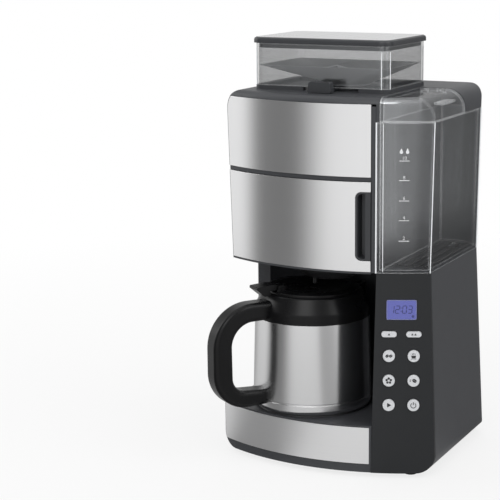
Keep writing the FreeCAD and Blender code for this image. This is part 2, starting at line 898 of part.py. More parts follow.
# Brew deck between the filter door and the grinder
deck_low = door_space
deck_high = fascia_low - 0.2
chute_x = dim("chute_x", -8)
chute_wide = dim("chute_width", 22)
chute_front = dim("chute_front", -51)
chute_back = dim("chute_back", -33)
deck_tongue = common(
    bow_ring(bow_r - slab + 0.2, bow_r - steel - 0.6, deck_low, deck_high),
    upper_profile(size(0.5)),
    box((-far, part_left), (-far, hinge_y), (deck_low, deck_high)),
)
deck = cut(
    fuse(
        common(
            box((-far, part_left), (-far, back - wall), (deck_low, deck_high)),
            upper_form(wall, slab - backing + 0.6),
        ),
        deck_tongue,
    ),
    box(
        (chute_x - chute_wide / 2, chute_x + chute_wide / 2),
        (chute_front, chute_back),
        (deck_low - 1, deck_high + 1),
    ),
    rod(pin_r, (hinge_x, hinge_y, deck_low - 5), 20),
)
keep("brew_deck", deck)
keep("hinge_pins", group(
    rod(pin_r, (hinge_x, hinge_y, deck_low - 5), deck_high - deck_low + 5),
    rod(pin_r, (hinge_x, hinge_y, lug_low), lug_high - lug_low + 5),
))

# Grinder: geared motor drive, burrs and chute
gear_m = dim("gear_module", 1.5)
gear_n = 60
pinion_n = 16
gear_w = dim("gear_width", 6)
gear_z = deck_high + 5.6
mount_low = gear_z + gear_w + 2
mount_t = dim("gear_plate_thickness", 3)
mount_high = mount_low + mount_t
drive_angle = dim("drive_angle", 147)
centres = gear_m * (gear_n + pinion_n) / 2
motor_x = burr_x + centres * cosine(drive_angle)
motor_y = burr_y + centres * sine(drive_angle)
motor_r = dim("motor_radius", 25)
motor_h = dim("motor_height", 50)
shaft_r = dim("burr_shaft_radius", 4)
axle_r = dim("motor_shaft_radius", 2.5)
house_r = dim("grinder_housing_radius", 29.5)
bore_r = dim("grinder_bore_radius", 26)
floor_z = dim("grinder_floor_height", 342)


def tooth_half(count, factor):
    """Half thickness of an involute tooth at a radius, both in modules."""
    pitch = count / 2
    base = pitch * math.cos(math.radians(20))
    lift = math.tan(math.radians(20)) - math.radians(20)
    slope = math.acos(min(1, base / factor))
    return factor * (math.pi / (2 * count) + lift - math.tan(slope) + slope) - 0.1


def gear(count, bore, x, y, turn):
    """A spur gear padded from its root ring and one patterned tooth."""
    body = doc.addObject("PartDesign::Body", "gear")
    pitch = count / 2
    foot = pitch - 1.05
    ring = body_sketch(body, "XY_Plane", [])
    for radius in (gear_m * (foot + 0.02), bore):
        circle = ring.addGeometry(Part.Circle(vec(), vec(0, 0, 1), radius.value), False)
        ring.addConstraint(Sketcher.Constraint("Coincident", circle, 3, -1, 1))
        index = ring.addConstraint(Sketcher.Constraint("Radius", circle, radius.value))
        bind(ring, f"Constraints[{index}]", radius)
    disc = body.newObject("PartDesign::Pad", "disc")
    disc.Profile = ring
    bind(disc, "Length", gear_w)
    levels = [foot - 0.1, max(foot, pitch * math.cos(math.radians(20))), pitch, pitch + 0.8]
    levels = sorted(set(levels))
    flank = [(gear_m * level, gear_m * tooth_half(count, max(level, levels[1]))) for level in levels]
    corners = [(u, -v) for u, v in flank] + [(u, v) for u, v in reversed(flank)]
    tooth = body.newObject("PartDesign::Pad", "tooth")
    tooth.Profile = body_sketch(body, "XY_Plane", corners)
    bind(tooth, "Length", gear_w)
    body.Tip = tooth
    around = body.newObject("PartDesign::PolarPattern", "teeth")
    around.Originals = [tooth]
    around.Axis = ([f for f in body.Origin.OriginFeatures if f.Role == "Z_Axis"][0], [""])
    around.Angle = 360
    around.Occurrences = count
    body.Tip = around
    body.Placement = FreeCAD.Placement(vec(), FreeCAD.Rotation(vec(0, 0, 1), turn))
    return place(body, x, y, gear_z)


keep("burr_gear", gear(gear_n, shaft_r, burr_x, burr_y, drive_angle.value))
pinion = gear(pinion_n, axle_r - 0.4, motor_x, motor_y, drive_angle.value + 180 + 180 / pinion_n)
keep("motor_pinion", fuse(pinion, rod(axle_r, (motor_x, motor_y, gear_z - 2), mount_high - gear_z + 14)))
keep("burr_shaft", rod(shaft_r, (burr_x, burr_y, deck_high + 1), floor_z + 30 - deck_high))
post_r = dim("gear_post_radius", 4.5)
mount_spots = [(-83, -6), (45, -8), (45, 84), (-83, 84)]
keep("gear_plate", cut(
    fuse(
        prism(rect((-88, 50), (-12, 90), 6), "XY", mount_low, mount_high),
        *[rod(post_r, (x, y, deck_high), mount_low - deck_high) for x, y in mount_spots],
    ),
    rod(shaft_r + 0.06, (burr_x, burr_y, mount_low - 1), mount_t + 2),
    rod(axle_r + 3, (motor_x, motor_y, mount_low - 1), mount_t + 2),
))
keep("grinder_motor", cut(
    fuse(
        turned([(0, 0), (motor_r, 0), (motor_r, motor_h, 3), (0, motor_h)], motor_x, motor_y, mount_high),
        rod(8, (motor_x, motor_y, mount_high + motor_h - 1), 4),
    ),
    rod(axle_r + 0.08, (motor_x, motor_y, mount_high - 1), 14),
))
house_top = cover_z - wall - play
chamber = dim("grinder_chamber_height", 14)
keep("grinder_housing", cut(
    turned(
        [
            (shaft_r + 0.06, floor_z),
            (bore_r, floor_z),
            (bore_r, house_top),
            (house_r, house_top),
            (house_r, mount_high),
            (house_r - 3, mount_high),
            (house_r - 3, floor_z - 4),
            (shaft_r + 0.06, floor_z - 4),
        ],
        burr_x, burr_y, 0,
    ),
    box((chute_x - 8, chute_x + 8), (burr_y - 40, burr_y), (floor_z, floor_z + 9)),
))
chute_t = dim("chute_wall", 1.6)


def chute_form(inset):
    high = floor_z + 9 + chute_t - inset
    corners = [
        (burr_y - 10, high),
        (chute_front + 14, high),
        (chute_front + inset, high - 18),
        (chute_front + inset, deck_low - 4),
        (chute_back - inset, deck_low - 4),
        (chute_back - inset, high - 26 + inset),
        (burr_y - 10, floor_z - chute_t + inset),
    ]
    half = chute_wide / 2 - 0.2 - inset
    return prism(corners, "YZ", chute_x - half, chute_x + half)


inner_chute = fuse(
    chute_form(chute_t),
    box(
        (chute_x - 8, chute_x + 8),
        (chute_front + chute_t, chute_back - chute_t),
        (deck_low - 6, deck_low + 4),
    ),
)
keep("coffee_chute", cut(
    chute_form(size(0)), inner_chute, rod(house_r, (burr_x, burr_y, mount_high - 30), 120)
))
cone_top = house_top - 1
keep("cone_burr", turned(
    [(shaft_r, floor_z + 1), (18, floor_z + 1), (19.5, floor_z + 8), (9, cone_top), (shaft_r, cone_top)],
    burr_x, burr_y, 0,
))
ring_low = floor_z + 9.5
keep("ring_burr", turned(
    [(20.4, ring_low), (bore_r - play, ring_low), (bore_r - play, cover_z - 1), (12.5, cover_z - 1)],
    burr_x, burr_y, 0,
))
ring_z = cover_z + 0.4
ring_top = hop_z - 0.4
lever_reach = dim("lever_reach", 64)
lever_side = dim("lever_offset", -4)
knob_wide = dim("lever_knob_width", 26)
knob_deep = dim("lever_knob_depth", 9)
knob_top = dim("lever_knob_height", 389)
knob_x = burr_x + lever_side
knob_front = burr_y - lever_reach - knob_deep / 2
keep("grind_selector", fuse(
    turned(
        [
            (mouth_r + 0.9, cover_z - 1),
            (bore_r - play, cover_z - 1),
            (bore_r - play, ring_z),
            (bore_r + 9, ring_z),
            (bore_r + 9, ring_top),
            (mouth_r + 0.9, ring_top),
        ],
        burr_x, burr_y, 0,
    ),
    box((knob_x - 7, knob_x + 7), (knob_front + 3, burr_y - bore_r), (ring_z, ring_top)),
    prism(
        [
            (knob_x - knob_wide / 2, ring_z, 1.5),
            (knob_x + knob_wide / 2, ring_z, 1.5),
            (knob_x + knob_wide / 2 - 2, knob_top, 2.5),
            (knob_x - knob_wide / 2 + 2, knob_top, 2.5),
        ],
        "XZ", knob_front, knob_front + knob_deep,
    ),
))

# Water path: heater, riser, shower head and supply hose
shower_y = dim("shower_y", 0)
shower_r = dim("shower_radius", 21)
shower_h = dim("shower_height", 12)
tube_r = dim("tube_radius", 4)
bend_r = dim("tube_bend_radius", 14)
heater_low = foot_h + wall
heater_h = dim("heater_height", 20)
inlet_x = dim("heater_inlet_x", 24)
keep("shower_head", turned(
    [(0, 0), (shower_r, 0, 1), (shower_r, 5, 1), (9, shower_h), (0, shower_h)],
    basket_x, shower_y, deck_low - shower_h,
))
tube_z = deck_low - shower_h / 2 - 2


def elbow(radius, at, turn):
    """A quarter bend about a point, turned into its plane."""
    item = doc.addObject("Part::Torus", "elbow")
    bind(item, "Radius1", bend_r)
    bind(item, "Radius2", radius)
    item.Angle3 = 90
    item.Placement = FreeCAD.Placement(vec(), turn)
    return place(item, *at)


def riser_form(radius):
    heater_top = heater_low + heater_h
    flat = FreeCAD.Rotation(0.5, 0.5, 0.5, 0.5)
    tube_end = shower_y + shower_r - 4
    return fuse(
        rod(radius, (basket_x, water_y, heater_top), tube_z - bend_r - heater_top),
        elbow(radius, (basket_x, water_y - bend_r, tube_z - bend_r), flat),
        rod(radius, (basket_x, tube_end, tube_z), water_y - bend_r - tube_end, "y"),
    )


keep("riser_tube", cut(riser_form(tube_r), rod(shower_r, (basket_x, shower_y, tube_z - 20), 40)))
heater_wide = dim("heater_width", 100)
heater_deep = dim("heater_depth", 28)
heater_x = dim("heater_middle_x", -18)
heater_left = heater_x - heater_wide / 2
heater_rect = rect(
    (heater_left, heater_left + heater_wide), (water_y - heater_deep / 2, water_y + heater_deep / 2), 8
)
heater_tubes = []
for side in (-7, 7):
    start = (heater_left, water_y + side, heater_low + heater_h * 0.62)
    heater_tubes.append(rod(heater_h * 0.27, start, heater_wide, "x"))
keep("flow_heater", fuse(
    prism(heater_rect, "XY", heater_low, heater_low + heater_h * 0.45),
    *heater_tubes,
    rod(tube_r + 2, (basket_x, water_y, heater_low), heater_h),
    rod(tube_r + 2, (inlet_x, water_y, heater_low), heater_h),
))


def hose_form(radius):
    top = waist_z - 9
    heater_top = heater_low + heater_h
    face = FreeCAD.Rotation(vec(1, 0, 0), 90)
    over = FreeCAD.Rotation(vec(0, 0, 1), 180).multiply(face)
    under = face.multiply(FreeCAD.Rotation(vec(0, 0, 1), -90))
    return fuse(
        rod(radius, (outlet_x, water_y, hose_z + bend_r), top - hose_z - bend_r),
        elbow(radius, (outlet_x - bend_r, water_y, hose_z + bend_r), under),
        rod(radius, (inlet_x + bend_r, water_y, hose_z), outlet_x - inlet_x - bend_r * 2, "x"),
        elbow(radius, (inlet_x + bend_r, water_y, hose_z - bend_r), over),
        rod(radius, (inlet_x, water_y, heater_top), hose_z - bend_r - heater_top),
    )


keep("supply_hose", hose_form(tube_r + 1))

# Filter door: backing, steel face, grip, basket, permanent filter and drip valve
door_right = fascia_right
grip_left = dim("grip_left", 37)
grip_low = dim("grip_low_height", 217.6)
grip_high = dim("grip_high_height", 286)
grip_r = dim("grip_corner_radius", 6)
grip_deep = dim("grip_depth", 14)


def grip_form(inset, right):
    corners = [
        (grip_left + inset, grip_low + inset, grip_r - inset),
        (right, grip_low + inset),
        (right, grip_high - inset),
        (grip_left + inset, grip_high - inset, grip_r - inset),
    ]
    return prism(corners, "XZ", -far, 0)


ring_in = dim("basket_ring_inner_radius", 41.6)
ring_out = dim("basket_ring_outer_radius", 48)
ring_level = dim("basket_ring_height", 272)
ring_t = dim("basket_ring_thickness", 5)
left_part = box((-far, hinge_x + 30), (-far, 60), (door_low, door_top))
swing = fuse(
    rod(sweep_r, (hinge_x, hinge_y, door_low), door_top - door_low),
    box((-far, far), (-far, hinge_y), (door_low, door_top)),
)
outside_steel = bow_ring(bow_r - steel, bow_r + 20, door_low - 1, door_top + 1)
cheek = cut(
    common(upper_outer, left_part, swing),
    upper_inner,
    outside_steel,
    box((-far, hinge_x + 16), (hinge_y - 9, far), (door_low - 1, lug_high + 0.4)),
)
web_area = fuse(
    rod(sweep_r - 0.5, (hinge_x, hinge_y, door_low), door_top - door_low),
    common(
        rod(sweep_r + 6, (hinge_x, hinge_y, door_low), door_top - door_low),
        box((-far, far), (-far, hinge_y), (door_low, door_top)),
    ),
)
webs = cut(
    common(
        upper_outer,
        bow(bow_r - steel - 1, door_low - 1, door_top + 1),
        web_area,
        fuse(
            box((-far, 0), (-far, 60), (door_top - 4.6, door_top)),
            box((-far, 0), (-far, 60), (lug_high + 0.4, lug_high + 5)),
        ),
    ),
    rod(pin_r + 0.06, (hinge_x, hinge_y, low_z), 200),
)
door_slab = cut(
    common(
        bow_ring(bow_r - slab, bow_r - steel, door_low, door_top),
        upper_profile(size(0)),
        box((-far, door_right), (-far, 60), (door_low, door_top)),
    ),
    grip_form(size(0), door_right + 5),
    box((-far, hinge_x + 16), (hinge_y - 9, far), (door_low - 1, lug_high + 0.4)),
)
ring_low_z = ring_level - ring_t
holder = cut(
    fuse(
        rod(ring_out, (basket_x, basket_y, ring_low_z), ring_t),
        common(
            box((basket_x - 26, basket_x + 26), (-far, basket_y - 36), (ring_low_z, ring_level)),
            bow(bow_r - steel - 1, ring_low_z - 1, ring_level + 1),
        ),
    ),
    rod(ring_in, (basket_x, basket_y, ring_low_z - 1), ring_t + 2),
)
keep("door_frame", fuse(door_slab, cheek, webs, holder))
keep("door_fascia", cut(
    common(
        bow_ring(bow_r - steel + bond, bow_r, door_steel_low, door_top),
        upper_profile(rim),
        box((-far, door_right), (-far, 60), (0, door_top)),
    ),
    grip_form(size(0), door_right + 5),
))
bar_left = dim("grip_bar_left", 46.5)
grip_block = common(
    grip_form(size(0.2), door_right - 0.2),
    bow_ring(bow_r - grip_deep, bow_r - 0.4, grip_low - 2, grip_high + 2),
)
pocket = fuse(
    common(
        grip_form(size(2), door_right - 1.6),
        bow_ring(bow_r - grip_deep + 2, bow_r - slab, grip_low - 2, grip_high + 2),
    ),
    common(grip_form(size(2), bar_left), bow_ring(bow_r - slab - 1, bow_r + 5, grip_low - 2, grip_high + 2)),
)
keep("door_grip", cut(grip_block, pocket))
outlet_off = dim("drip_outlet_offset", -17)
stem_r = dim("drip_stem_radius", 2.6)
dish_z = waist_z - 16
basket_t = dim("basket_wall", 2)
keep("filter_basket", cut(
    turned(
        [
            (0, dish_z),
            (25, dish_z, 6),
            (37.5, dish_z + 11, 6),
            (ring_in - 0.8, ring_level),
            (ring_out - 2, ring_level),
            (ring_out - 2, ring_level + 2.5, 1),
            (ring_in - 0.8 - basket_t, ring_level + 2.5),
            (37.5 - basket_t, dish_z + 12, 4),
            (24.4, dish_z + basket_t, 4),
            (0, dish_z + basket_t),
        ],
        basket_x, basket_y, 0,
    ),
    rod(stem_r + 0.4, (basket_x + outlet_off, basket_y, dish_z - 1), 6),
))
seat_z = dish_z + basket_t
keep("mesh_filter", turned(
    [
        (0, seat_z + 13),
        (25, seat_z + 13, 3),
        (ring_in - 4.4, ring_level + 2.5),
        (ring_in + 1.5, ring_level + 2.5),
        (ring_in + 1.5, ring_level + 4),
        (ring_in - 5.6, ring_level + 4),
        (24, seat_z + 14.2, 2),
        (0, seat_z + 14.2),
    ],
    basket_x, basket_y, 0,
))
keep("drip_valve", turned(
    [
        (0, seat_z - 13),
        (stem_r, seat_z - 13, 1),
        (stem_r, seat_z + play),
        (7, seat_z + play),
        (7, seat_z + 2.4),
        (stem_r, seat_z + 3),
        (stem_r, seat_z + 7),
        (0, seat_z + 7),
    ],
    basket_x + outlet_off, basket_y, 0,
))

# Insulated carafe: steel shell and liner, collar with spout, lid, thumb lever and handle
carafe_z = deck_z + rest_h
shell_low_r = dim("carafe_low_radius", 61.6)
shell_top_r = dim("carafe_top_radius", 59.4)
shell_h = dim("carafe_shell_height", 93)
shell_t = dim("carafe_sheet", 1.2)
neck = dim("carafe_neck_radius", 46)
collar_h = dim("carafe_collar_height", 26)
collar_top_r = dim("carafe_collar_top_radius", 51)
collar_z = shell_h + collar_h
handle_turn = dim("handle_turn", 35)
keep("carafe_shell", turned(
    [
        (0, 0),
        (shell_low_r - 2.4, 0, 1.5),
        (shell_low_r, 4, 1.5),
        (shell_low_r, 10),
        (shell_low_r - 0.7, 10.6),
        (shell_low_r - 0.7, 11.6),
        (shell_low_r, 12.2),
        (shell_top_r, shell_h),
        (shell_top_r - shell_t, shell_h),
        (shell_low_r - shell_t - 0.7, 12.2),
        (shell_low_r - shell_t - 0.7, shell_t + 1),
        (0, shell_t),
    ],
    carafe_x, carafe_y, carafe_z,
))
liner_r = dim("carafe_liner_radius", 55)
liner_t = dim("carafe_liner_sheet", 0.8)
keep("carafe_liner", turned(
    [
        (0, 5),
        (liner_r, 5, 3),
        (liner_r, shell_h - 9, 5),
        (neck, shell_h + 2),
        (neck, shell_h + 14),
        (neck - liner_t, shell_h + 14),
        (neck - liner_t, shell_h + 1.7),
        (liner_r - liner_t, shell_h - 9.3, 4.2),
        (liner_r - liner_t, 5 + liner_t, 2.2),
        (0, 5 + liner_t),
    ],
    carafe_x, carafe_y, carafe_z,
))
spin = FreeCAD.Rotation(vec(0, 0, 1), -90 - handle_turn.value)


def toward_handle(item):
    """Turn a piece drawn along +X to the handle's side of the carafe."""
    item.Placement = FreeCAD.Placement(vec(), spin)
    return place(item, carafe_x, carafe_y, carafe_z)


def radial_slab(corners, width):
    """A side outline in the handle's plane, padded to both sides of that plane."""
    body = doc.addObject("PartDesign::Body", "slab")
    sketch = body_sketch(body, "XZ_Plane", corners)
    pad = body.newObject("PartDesign::Pad", "pad")
    pad.Profile = sketch
    pad.Midplane = True
    bind(pad, "Length", width)
    body.Tip = pad
    return toward_handle(body)


def flat_slab(corners, z_low, height):
    """A plan outline along the handle's direction, padded upwards."""
    body = doc.addObject("PartDesign::Body", "flat")
    sketch = body_sketch(body, "XY_Plane", corners)
    bind(sketch, "AttachmentOffset.Base.z", z_low)
    pad = body.newObject("PartDesign::Pad", "pad")
    pad.Profile = sketch
    bind(pad, "Length", height)
    body.Tip = pad
    return toward_handle(body)


collar_outer = [(shell_top_r, shell_h), (shell_top_r - 0.4, shell_h + 10, 6), (collar_top_r, collar_z, 3)]
collar_solid = turned([(0, shell_h)] + collar_outer + [(0, collar_z)], carafe_x, carafe_y, carafe_z)
spout_reach = dim("spout_reach", 66)
spout = flat_slab([(-spout_reach, 0, 4), (-40, -22), (-40, 22)], collar_z - 16, 16)
channel = flat_slab([(-spout_reach + 4.5, 0, 2), (-36, -16), (-36, 16)], collar_z - 9, 12)
keep("carafe_collar", cut(
    fuse(collar_solid, spout),
    turned(
        [
            (0, shell_h - 1),
            (neck + 3.4, shell_h - 1),
            (neck + 0.3, shell_h + 3),
            (neck + 0.3, collar_z + 1),
            (0, collar_z + 1),
        ],
        carafe_x, carafe_y, carafe_z,
    ),
    channel,
))
handle_reach = dim("handle_reach", 118)
handle_top = dim("handle_top", 113)
handle_low = dim("handle_low", 4.5)
handle_t = dim("handle_thickness", 20)
handle_w = dim("handle_width", 22)
handle_r = dim("handle_edge_radius", 5)
grip_body = doc.addObject("PartDesign::Body", "handle")
grip_sketch = body_sketch(grip_body, "XZ_Plane", [
    (48, handle_top),
    (48, handle_top - handle_t + 1),
    (handle_reach - handle_t, handle_top - handle_t + 1, 24),
    (handle_reach - handle_t - 1, handle_low + handle_t, 15),
    (52, handle_low + handle_t - 3),
    (52, handle_low + 2),
    (handle_reach, handle_low, 38),
    (handle_reach, handle_top, 44),
])
grip_pad = grip_body.newObject("PartDesign::Pad", "pad")
grip_pad.Profile = grip_sketch
grip_pad.Midplane = True
bind(grip_pad, "Length", handle_w)
grip_body.Tip = grip_pad
doc.recompute()
sides = [f"Face{i + 1}" for i, f in enumerate(grip_pad.Shape.Faces) if abs(f.normalAt(0, 0).y) > 0.9]
grip_round = grip_body.newObject("PartDesign::Fillet", "edges")
grip_round.Base = (grip_pad, sides)
bind(grip_round, "Radius", handle_r)
grip_body.Tip = grip_round
toward_handle(grip_body)
shell_outer = [(0, 0), (shell_low_r, 0), (shell_low_r, 12.2), (shell_top_r, shell_h)]
carafe_solid = turned(
    shell_outer + collar_outer[1:] + [(0, collar_z)], carafe_x, carafe_y, carafe_z
)
keep("carafe_handle", cut(grip_body, carafe_solid))
lever_pin_r = dim("lever_pin_radius", 1.5)
lever_w = dim("thumb_lever_width", 16)
lever_at = dim("thumb_lever_pivot", 42)
pivot_z = collar_z + 6.5


def cross_rod(radius, half):
    """A rod across the handle's plane at the lever's pivot."""
    ring = rect((lever_at - radius, lever_at + radius), (pivot_z - radius, pivot_z + radius), radius * 0.98)
    return radial_slab(ring, half * 2)


ear_low = collar_z + 2
ear_side = [
    (lever_at - 4, ear_low),
    (lever_at + 4, ear_low),
    (lever_at + 4, pivot_z + 3, 3),
    (lever_at - 4, pivot_z + 3, 3),
]
ears = cut(
    radial_slab(ear_side, lever_w + 6),
    radial_slab(rect((lever_at - 9, lever_at + 9), (ear_low - 5, pivot_z + 9)), lever_w + 0.8),
    cross_rod(lever_pin_r + 0.06, lever_w),
)
keep("carafe_lid", fuse(
    turned(
        [
            (6, collar_z - 14),
            (neck - liner_t - 0.5, collar_z - 14),
            (neck - liner_t - 0.5, collar_z),
            (collar_top_r - 2.5, collar_z),
            (collar_top_r - 2.5, collar_z + 2.6, 1),
            (40, collar_z + 3.6, 3),
            (11, collar_z - 1),
            (6, collar_z - 1),
        ],
        carafe_x, carafe_y, carafe_z,
    ),
    ears,
))
lever_low = collar_z + 4.2
keep("lid_lever", fuse(
    radial_slab(
        [
            (lever_at - 8, lever_low + 0.6),
            (collar_top_r + 3, lever_low),
            (collar_top_r + 3, collar_z - 0.6),
            (collar_top_r + 9, collar_z - 0.6),
            (collar_top_r + 18, collar_z + 7),
            (collar_top_r + 18, collar_z + 9.5, 1.2),
            (collar_top_r, collar_z + 10.5, 8),
            (lever_at - 8, collar_z + 8, 1.2),
        ],
        lever_w,
    ),
    cross_rod(lever_pin_r, lever_w / 2 + 2.8),
))

doc.recompute()
for item in doc.Objects:
    if "Invalid" in item.State or "Error" in item.State:
        raise RuntimeError(f"{item.Label} was not built")
os.makedirs("parts", exist_ok=True)
for item in parts:
    if item.Shape.isNull() or not item.Shape.isValid() or not item.Shape.Solids:
        raise RuntimeError(f"{item.Label} is not a valid solid")
    item.Shape.exportStep(f"parts/{item.Label}.step")
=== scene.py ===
import json
import math

import bmesh
import bpy
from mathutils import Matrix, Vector


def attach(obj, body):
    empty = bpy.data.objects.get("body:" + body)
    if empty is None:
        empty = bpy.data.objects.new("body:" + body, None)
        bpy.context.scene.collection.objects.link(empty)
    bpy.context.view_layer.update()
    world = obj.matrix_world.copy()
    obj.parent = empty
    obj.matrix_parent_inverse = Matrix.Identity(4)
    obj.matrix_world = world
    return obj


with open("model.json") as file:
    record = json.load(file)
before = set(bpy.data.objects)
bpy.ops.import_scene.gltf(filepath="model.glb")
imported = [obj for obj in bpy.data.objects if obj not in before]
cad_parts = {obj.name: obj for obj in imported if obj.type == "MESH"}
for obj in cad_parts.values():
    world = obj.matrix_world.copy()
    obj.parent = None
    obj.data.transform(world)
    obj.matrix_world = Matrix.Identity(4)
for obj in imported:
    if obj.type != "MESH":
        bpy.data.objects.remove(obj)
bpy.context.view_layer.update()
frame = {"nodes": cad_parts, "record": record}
nodes = frame["nodes"]
scene = bpy.context.scene
scene.view_settings.view_transform = "Standard"
MM = 0.001


# Shader maths and materials

class Wire:
    """A socket of a finish, so that shader maths reads as an expression."""

    def __init__(self, finish, socket):
        self.finish = finish
        self.socket = socket

    def __add__(self, other):
        return self.finish.maths("ADD", self, other)

    def __radd__(self, other):
        return self.finish.maths("ADD", other, self)

    def __sub__(self, other):
        return self.finish.maths("SUBTRACT", self, other)

    def __rsub__(self, other):
        return self.finish.maths("SUBTRACT", other, self)

    def __mul__(self, other):
        return self.finish.maths("MULTIPLY", self, other)

    def __rmul__(self, other):
        return self.finish.maths("MULTIPLY", other, self)

    def __pow__(self, other):
        return self.finish.maths("POWER", self, other)


class Finish:
    """One procedural material, or the world, and the nodes that vary it."""

    def __init__(self, name, owner=None, **sockets):
        self.owner = owner or bpy.data.materials.new(name)
        self.owner.use_nodes = True
        self.tree = self.owner.node_tree
        self.shader = self.tree.nodes.get("Principled BSDF")
        if self.shader:
            self.place = self.node("TexCoord", out="Object")
            self.set(**sockets)

    def node(self, kind, settings=None, sockets=None, out=0):
        made = self.tree.nodes.new("ShaderNode" + kind)
        for name, value in (settings or {}).items():
            if name == "stops":
                self.stops(made.color_ramp, value)
            else:
                setattr(made, name, value)
        for name, value in (sockets or {}).items():
            self.feed(made.inputs[name], value)
        return Wire(self, made.outputs[out])

    def stops(self, ramp, values):
        ramp.interpolation = "EASE"
        while len(ramp.elements) < len(values):
            ramp.elements.new(0.5)
        for element, (at, level) in zip(ramp.elements, values):
            element.position = at
            element.color = (level, level, level, 1)

    def feed(self, socket, value):
        if isinstance(value, Wire):
            self.tree.links.new(value.socket, socket)
        elif socket.type == "RGBA" and len(value) == 3:
            socket.default_value = (*value, 1)
        else:
            socket.default_value = value

    def set(self, **sockets):
        for name, value in sockets.items():
            self.feed(self.shader.inputs[name.replace("_", " ")], value)
        return self

    def maths(self, operation, a, b):
        return self.node("Math", {"operation": operation}, {0: a, 1: b})

    def noise(self, scale, stretch=(1, 1, 1), detail=2.0):
        """Cloudy variation from 0 to 1; scale is in cycles a metre."""
        at = self.node("Mapping", {}, {"Vector": self.place, "Scale": stretch})
        sockets = {"Vector": at, "Scale": scale, "Detail": detail}
        return self.node("TexNoise", {}, sockets)

    def shade(self, low, high, factor):
        """A colour between two, by a factor."""
        settings = {"data_type": "RGBA"}
        sockets = {0: factor, 6: (*low, 1), 7: (*high, 1)}
        return self.node("Mix", settings, sockets, out=2)

    def round_edges(self, radius):
        return self.node("Bevel", {"samples": 4}, {"Radius": radius})

    def edge_mask(self, radius):
        """0 on open faces, rising to 1 at the edges of a moulding."""
        bent = self.round_edges(radius)
        flat = self.node("NewGeometry", out="True Normal")
        settings = {"operation": "DOT_PRODUCT"}
        return 1 - self.node("VectorMath", settings, {0: bent, 1: flat}, out="Value")

    def grain(self, height, depth, radius=0.0005):
        """Surface relief of a depth in metres, with edges softened to a radius."""
        edges = self.round_edges(radius)
        sockets = {"Height": height, "Distance": depth, "Strength": 1.0, "Normal": edges}
        return self.node("Bump", {}, sockets)


def moulded(name, tone, rough, depth, gloss=0.5, coat=0.0, scale=1400.0):
    """Moulded plastic: faint mottling, a fine spark-eroded grain and soft edges."""
    made = Finish(name, Specular_IOR_Level=gloss, Coat_Weight=coat, Coat_Roughness=0.12)
    cloud = made.noise(28.0, detail=4.0)
    fine = made.noise(scale, detail=1.0)
    dark = [c * 0.9 for c in tone]
    light = [c * 1.1 for c in tone]
    made.set(
        Base_Color=made.shade(dark, light, cloud * 0.6 + fine * 0.4),
        Roughness=rough - 0.05 + 0.1 * cloud,
        Normal=made.grain(fine, depth),
    )
    return made


def brushed(name, tone, rough, stretch, depth):
    """Metal with long fine scratches; stretch gives their frequency along each axis."""
    made = Finish(name, Metallic=1.0)
    hair = made.noise(1.0, stretch, detail=3.0)
    broad = made.noise(0.22, stretch, detail=2.0)
    dark = [c * 0.955 for c in tone]
    light = [min(1.0, c * 1.035) for c in tone]
    made.set(
        Base_Color=made.shade(dark, light, hair * 0.7 + broad * 0.3),
        Roughness=rough - 0.03 + 0.06 * hair,
        Normal=made.grain(hair, depth, 0.0004),
    )
    return made


def clear(name, tone, body, edge, glint=0.1, veil_thins_below=None):
    """Clear plastic: faces that mirror a little and let the rest through, and edges painted
    near-white as a painted highlight.
    """
    made = Finish(name, Specular_IOR_Level=0.6, Coat_Weight=0.3, Coat_Roughness=0.03)
    # Painted shade in the reflection: below this height the mirroring veil thins to a quarter, so
    # the lower part mirrors less.
    if veil_thins_below:
        height = made.node("SeparateXYZ", {}, {"Vector": made.place}, out="Z")
        limits = {"From Min": veil_thins_below - 0.02, "From Max": veil_thins_below + 0.03, "To Min": 0.25}
        body = body * made.node("MapRange", {}, {"Value": height, **limits})
    # Painted highlight: the moulding's edges are painted near-white, not metallic, and less
    # see-through, for the bright lines along clear corners.
    painted_rim_glint = made.edge_mask(0.0020) ** 0.5
    ripple = made.noise(60.0, detail=2.0)
    glance = made.node("LayerWeight", {}, {"Blend": 0.5}, out="Facing")
    made.set(
        Base_Color=made.shade(tone, (0.95, 0.96, 0.97), painted_rim_glint),
        Metallic=1 - painted_rim_glint,
        Roughness=0.03 + 0.03 * ripple,
        Alpha=body + edge * painted_rim_glint + glint * glance ** 3,
        Normal=made.grain(ripple, 0.00004, 0.0008),
    )
    return made


